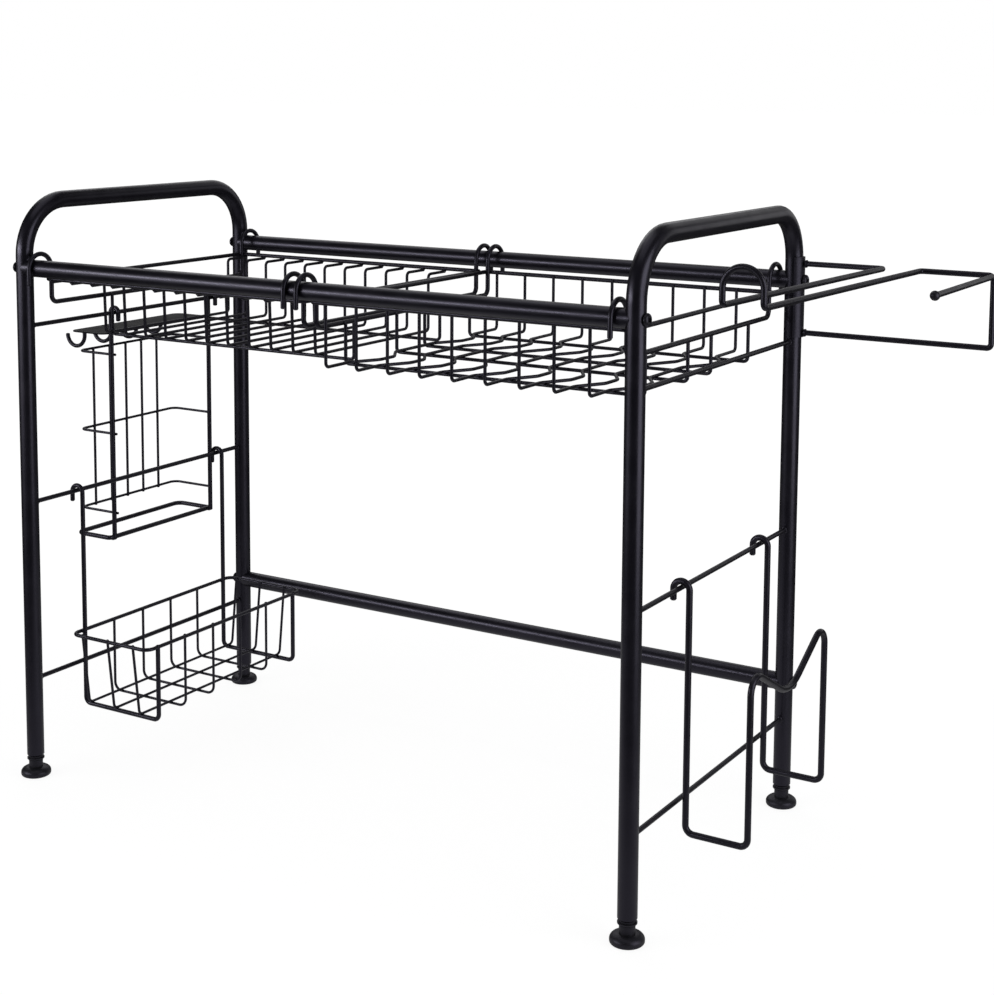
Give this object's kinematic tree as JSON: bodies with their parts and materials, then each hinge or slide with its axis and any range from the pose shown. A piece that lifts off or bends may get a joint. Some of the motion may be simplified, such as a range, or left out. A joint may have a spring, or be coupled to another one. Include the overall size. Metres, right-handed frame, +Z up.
{
  "type": "over sink dish rack",
  "caption": "Free-standing tube frame that spans a sink, with hung wire baskets for plates and bowls, a utensil cage, a sponge basket, a board rack and a glass and roll holder.",
  "frame": {"origin": "on the floor, under the middle of the whole rack with everything that hangs on it", "axes": "+X along the sink towards the glass and roll holder, +Y to the rear where the lower bar is, +Z up"},
  "size_m": [0.8843, 0.34, 0.557],
  "materials": {
    "coated_tube": "satin black powder coat on steel tube",
    "coated_wire": "satin black powder coat on steel wire",
    "coated_sheet": "satin black powder coat on sheet steel",
    "black_bolt": "black, slightly glossier than the tubes",
    "plated_insert": "plated steel, out of sight inside the tubes, so its finish is a guess",
    "black_plastic": "moulded black plastic"
  },
  "bodies": {
    "frame": {"left_side_frame": "coated_tube", "right_side_frame": "coated_tube", "front_rail": "coated_tube", "rear_rail": "coated_tube", "lower_rear_bar": "coated_tube", "left_upper_rod": "coated_wire", "left_middle_rod": "coated_wire", "left_lower_rod": "coated_wire", "right_upper_rod": "coated_wire", "right_middle_rod": "coated_wire", "right_lower_rod": "coated_wire", "front_rail_left_insert": "plated_insert", "front_rail_right_insert": "plated_insert", "rear_rail_left_insert": "plated_insert", "rear_rail_right_insert": "plated_insert", "lower_rear_bar_left_insert": "plated_insert", "lower_rear_bar_right_insert": "plated_insert", "front_rail_left_bolt": "black_bolt", "front_rail_right_bolt": "black_bolt", "rear_rail_left_bolt": "black_bolt", "rear_rail_right_bolt": "black_bolt", "lower_rear_bar_left_bolt": "black_bolt", "lower_rear_bar_right_bolt": "black_bolt", "front_left_leg_plug": "black_plastic", "front_right_leg_plug": "black_plastic", "rear_left_leg_plug": "black_plastic", "rear_right_leg_plug": "black_plastic", "holder_sleeve": "coated_sheet", "roll_and_glass_holder": "coated_wire", "rod_ball": "black_plastic"},
    "front_left_foot": {"front_left_foot": "black_plastic"},
    "front_right_foot": {"front_right_foot": "black_plastic"},
    "rear_left_foot": {"rear_left_foot": "black_plastic"},
    "rear_right_foot": {"rear_right_foot": "black_plastic"},
    "plate_basket": {"plate_basket": "coated_wire"},
    "bowl_basket": {"bowl_basket": "coated_wire"},
    "utensil_holder": {"utensil_holder": "coated_wire", "hook_plate": "coated_sheet", "plate_hook_1": "coated_wire", "plate_hook_2": "coated_wire", "plate_hook_3": "coated_wire", "plate_hook_4": "coated_wire"},
    "sponge_basket": {"sponge_basket": "coated_wire"},
    "board_rack": {"board_rack": "coated_wire"}
  },
  "joints": [
    {"name": "front_left_foot_level", "type": "slide", "parent": "frame", "child": "front_left_foot", "axis": [0, 0, 1], "range_m": [-0.01, 0]},
    {"name": "front_right_foot_level", "type": "slide", "parent": "frame", "child": "front_right_foot", "axis": [0, 0, 1], "range_m": [-0.01, 0]},
    {"name": "rear_left_foot_level", "type": "slide", "parent": "frame", "child": "rear_left_foot", "axis": [0, 0, 1], "range_m": [-0.01, 0]},
    {"name": "rear_right_foot_level", "type": "slide", "parent": "frame", "child": "rear_right_foot", "axis": [0, 0, 1], "range_m": [-0.01, 0]},
    {"name": "plate_basket_lift", "type": "slide", "parent": "frame", "child": "plate_basket", "axis": [0, 0, 1], "range_m": [0, 0.035]},
    {"name": "bowl_basket_lift", "type": "slide", "parent": "frame", "child": "bowl_basket", "axis": [0, 0, 1], "range_m": [0, 0.035]},
    {"name": "utensil_holder_lift", "type": "slide", "parent": "frame", "child": "utensil_holder", "axis": [0, 0, 1], "range_m": [0, 0.016]},
    {"name": "sponge_basket_lift", "type": "slide", "parent": "frame", "child": "sponge_basket", "axis": [0, 0, 1], "range_m": [0, 0.02]},
    {"name": "board_rack_lift", "type": "slide", "parent": "frame", "child": "board_rack", "axis": [0, 0, 1], "range_m": [0, 0.02]}
  ]
}
